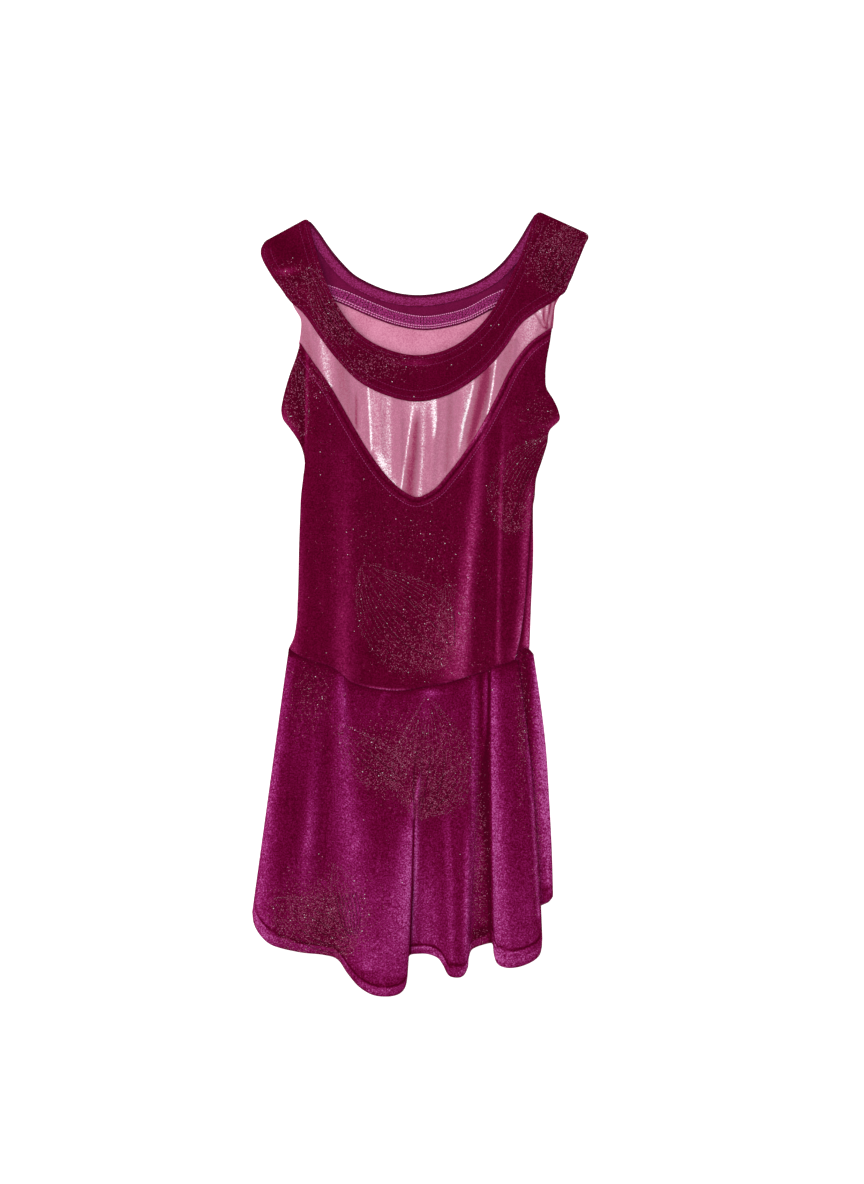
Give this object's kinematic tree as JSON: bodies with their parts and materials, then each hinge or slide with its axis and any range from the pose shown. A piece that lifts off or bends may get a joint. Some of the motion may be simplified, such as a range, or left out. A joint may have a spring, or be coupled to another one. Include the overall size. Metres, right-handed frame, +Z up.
{
  "type": "figure skating dress",
  "caption": "Sleeveless figure skating dress laid flat: velvet collar yoke, foil spandex crescent insert, velvet bodice and a flared velvet skirt lying in soft flutes.",
  "frame": {"origin": "centre of the bounding box's bottom face, on the surface that the dress lies on", "axes": "+X across the dress to the right of the picture, +Y up the dress to the shoulders, +Z up from the surface out of the front"},
  "size_m": [0.3228, 0.7494, 0.0162],
  "materials": {
    "yoke_velvet": "dark wine stretch velvet with glitter",
    "bodice_velvet": "wine stretch velvet with glitter",
    "skirt_velvet": "magenta-lit stretch velvet with glitter",
    "foil_spandex": "pale pink foil-printed spandex, matte pink on its inner side",
    "turned_edge": "purple reverse of the stretch velvet, topstitched",
    "overlocked_edge": "overlocked and flatlocked seam allowance, pink thread"
  },
  "bodies": {
    "root": {"yoke_front": "yoke_velvet", "yoke_back": "yoke_velvet", "insert_front": "foil_spandex", "insert_back": "foil_spandex", "bodice_front": "bodice_velvet", "bodice_back": "bodice_velvet", "skirt_front": "skirt_velvet", "skirt_back": "skirt_velvet", "neckline_turning_back": "turned_edge", "yoke_seam_allowance_back": "overlocked_edge"}
  },
  "joints": []
}
